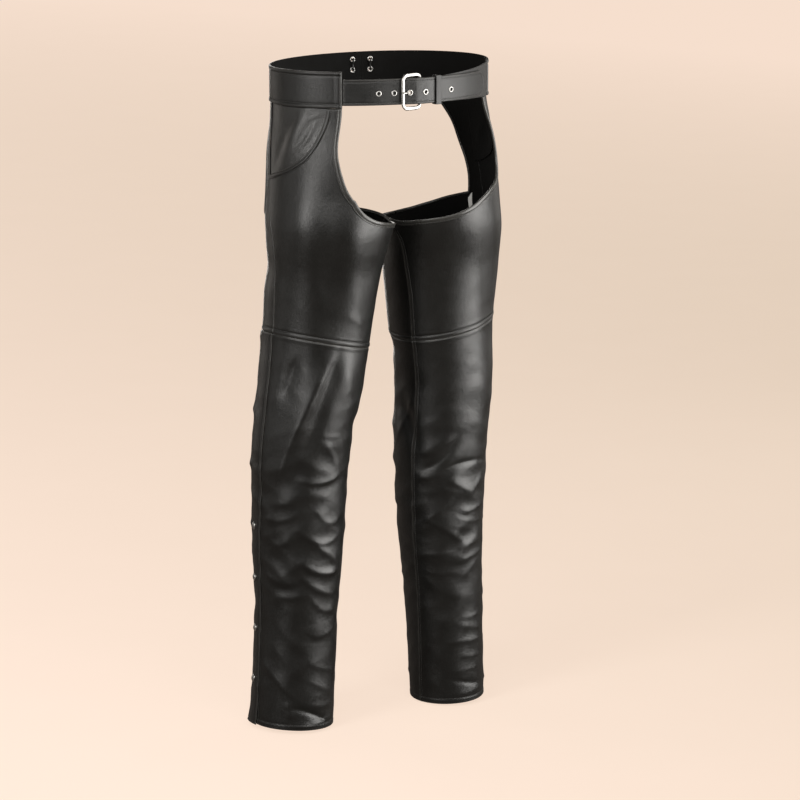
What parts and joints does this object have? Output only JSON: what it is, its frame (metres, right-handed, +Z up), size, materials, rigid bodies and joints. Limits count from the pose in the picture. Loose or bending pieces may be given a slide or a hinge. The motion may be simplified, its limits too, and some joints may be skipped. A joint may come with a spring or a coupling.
{
  "type": "leather chaps",
  "caption": "Black leather chaps with a buckled waistband, an open front and seat, scooped pockets, knee seams and snapped side flaps.",
  "frame": {"origin": "centre of the waist ring, at the waistband's mid-height", "axes": "+Z up, along the legs' length; the wearer faces -Y; the wearer's right side is -X and left side is +X"},
  "size_m": [0.4271, 0.2753, 1.05],
  "materials": {
    "leather": "smooth black grain leather with a soft satin sheen",
    "metal": "polished nickel plate",
    "tape": "plain woven tape"
  },
  "bodies": {
    "root": {"waistband_right": "leather", "waistband_left": "leather", "thigh_front_right": "leather", "thigh_front_left": "leather", "thigh_back_right": "leather", "thigh_back_left": "leather", "pocket_facing_right": "leather", "pocket_facing_left": "leather", "calf_front_right": "leather", "calf_front_left": "leather", "calf_back_right": "leather", "calf_back_left": "leather", "side_flap_right": "leather", "side_flap_left": "leather", "front_binding_right": "leather", "front_binding_left": "leather", "seat_binding_right": "leather", "seat_binding_left": "leather", "belt_strap_right": "leather", "belt_strap_left": "leather", "belt_keeper": "leather", "back_lace": "leather", "buckle_frame": "metal", "buckle_prong": "metal", "strap_eyelet_1": "metal", "strap_eyelet_2": "metal", "strap_eyelet_3": "metal", "strap_eyelet_4": "metal", "strap_eyelet_5": "metal", "strap_eyelet_6": "metal", "back_eyelet_right_1": "metal", "back_eyelet_right_2": "metal", "back_eyelet_left_1": "metal", "back_eyelet_left_2": "metal", "flap_snap_right_1": "metal", "flap_snap_right_2": "metal", "flap_snap_right_3": "metal", "flap_snap_right_4": "metal", "flap_snap_left_1": "metal", "flap_snap_left_2": "metal", "flap_snap_left_3": "metal", "flap_snap_left_4": "metal", "care_label": "tape"}
  },
  "joints": []
}
